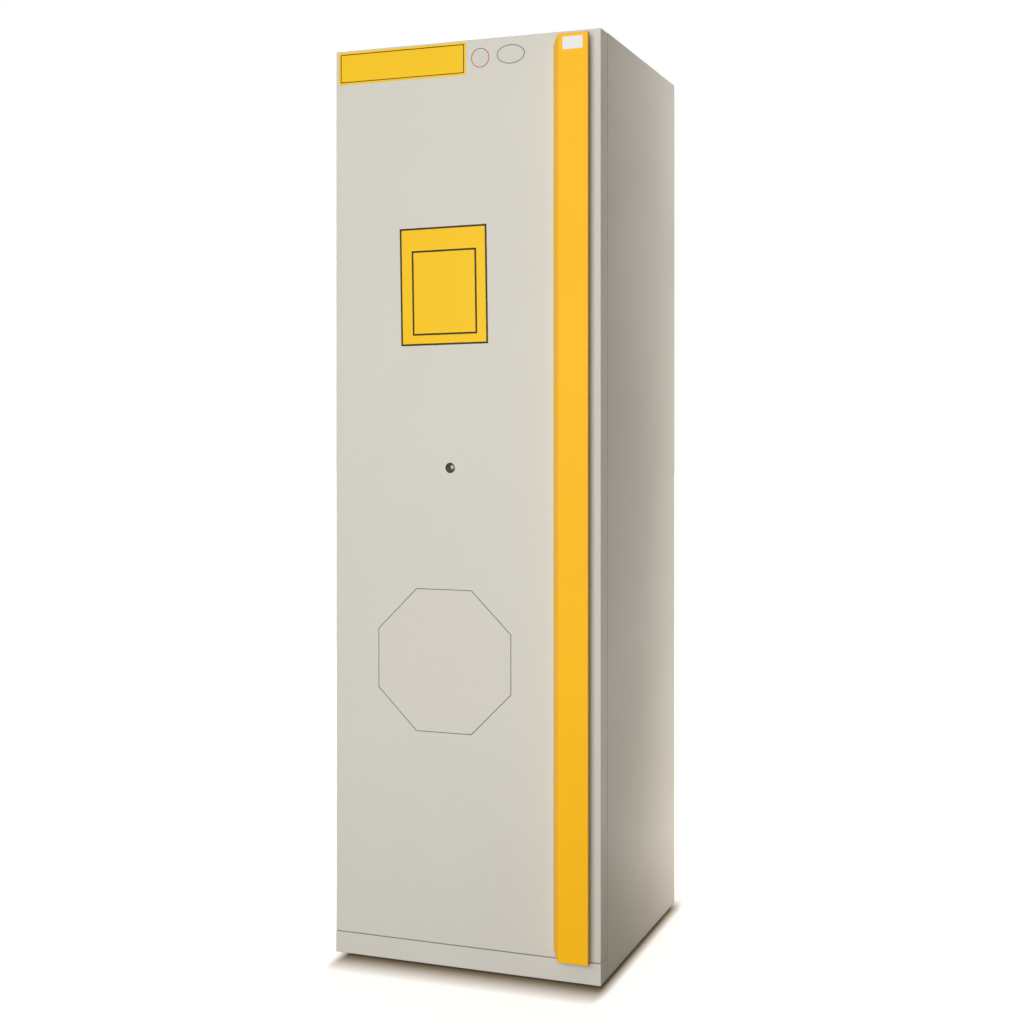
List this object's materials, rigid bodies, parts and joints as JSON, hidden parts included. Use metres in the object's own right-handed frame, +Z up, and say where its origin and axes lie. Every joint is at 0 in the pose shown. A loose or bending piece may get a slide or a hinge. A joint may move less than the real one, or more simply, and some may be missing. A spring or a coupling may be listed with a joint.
{
  "type": "fire-resistant chemical storage cabinet",
  "caption": "Tall narrow insulated steel cabinet with one left-hinged door, full-height bent pull, key lock with rack rods, tray shelves, sump and top exhaust spigot.",
  "frame": {"origin": "on the floor, under the middle of the cabinet's overall box, pull included", "axes": "+X to the viewer's right, +Y to the back, +Z up; the door faces -Y"},
  "size_m": [0.598, 0.618, 2.01],
  "materials": {
    "outer_paint": "satin warm light-grey powder coat",
    "handle_paint": "semi-gloss warm yellow powder coat",
    "inner_paint": "satin light-grey powder coat",
    "liner_board": "matt laminate-faced board",
    "mineral_board": "bare mineral insulation board",
    "zinc_steel": "zinc-plated steel",
    "lock_black": "black satin",
    "lock_chrome": "polished chrome",
    "bearing_brass": "turned brass",
    "seal_grey": "matt dark-grey seal strip"
  },
  "bodies": {
    "casing": {"outer_side_left": "outer_paint", "outer_side_right": "outer_paint", "outer_top": "outer_paint", "outer_back": "outer_paint", "plinth_cover": "outer_paint", "tray_shelf_lower": "inner_paint", "tray_shelf_middle": "inner_paint", "tray_shelf_upper": "inner_paint", "air_duct": "inner_paint", "exhaust_grille": "inner_paint", "liner_left": "liner_board", "liner_right": "liner_board", "liner_top": "liner_board", "liner_floor": "liner_board", "liner_back": "liner_board", "insulation_left": "mineral_board", "insulation_right": "mineral_board", "insulation_top": "mineral_board", "insulation_floor": "mineral_board", "insulation_back": "mineral_board", "base_frame": "zinc_steel", "hinge_plate_top": "zinc_steel", "hinge_bracket_bottom": "zinc_steel", "strike_plates": "zinc_steel", "shelf_uprights": "zinc_steel", "shelf_clips": "zinc_steel", "levelling_feet": "zinc_steel", "plinth_clips": "zinc_steel", "spigot_screws": "zinc_steel", "hinge_pin_top": "zinc_steel", "hinge_pin_bottom": "zinc_steel", "exhaust_spigot": "zinc_steel", "sump_grid": "zinc_steel", "bottom_sump": "zinc_steel", "thrust_washer": "bearing_brass", "earth_stud": "bearing_brass"},
    "door": {"door_skin": "outer_paint", "door_core": "mineral_board", "door_back_plate": "inner_paint", "inner_panel": "inner_paint", "fire_seal": "seal_grey", "smoke_seal": "seal_grey", "handle_profile": "handle_paint", "handle_rivets": "zinc_steel", "hinge_blocks": "zinc_steel", "hinge_bushes": "bearing_brass", "closing_spring": "zinc_steel", "lock_barrel": "lock_black", "lock_case": "zinc_steel", "rod_guides": "zinc_steel"},
    "key_plug": {"key_plug": "lock_chrome", "lock_pinion": "zinc_steel"},
    "upper_rod": {"upper_rod": "zinc_steel"},
    "lower_rod": {"lower_rod": "zinc_steel"}
  },
  "joints": [
    {"name": "door_swing", "type": "hinge", "parent": "casing", "child": "door", "pos_m": [-0.288, -0.257, 1], "axis": [0, 0, -1], "range_deg": [0, 120], "stiffness_Nm_per_rad": 2.5, "springref_deg": -20.05},
    {"name": "key_turn", "type": "hinge", "parent": "door", "child": "key_plug", "pos_m": [-0.032, -0.26, 1.053], "axis": [0, 1, 0], "range_deg": [0, 90]},
    {"name": "upper_rod_slide", "type": "slide", "parent": "door", "child": "upper_rod", "axis": [0, 0, 1], "range_m": [0, 0.01884]},
    {"name": "lower_rod_slide", "type": "slide", "parent": "door", "child": "lower_rod", "axis": [0, 0, -1], "range_m": [0, 0.01884]}
  ],
  "couplings": [
    {"joint": "lower_rod_slide", "follows": "upper_rod_slide", "ratio": 1},
    {"joint": "key_turn", "follows": "upper_rod_slide", "rad_per_m": 83.333}
  ]
}
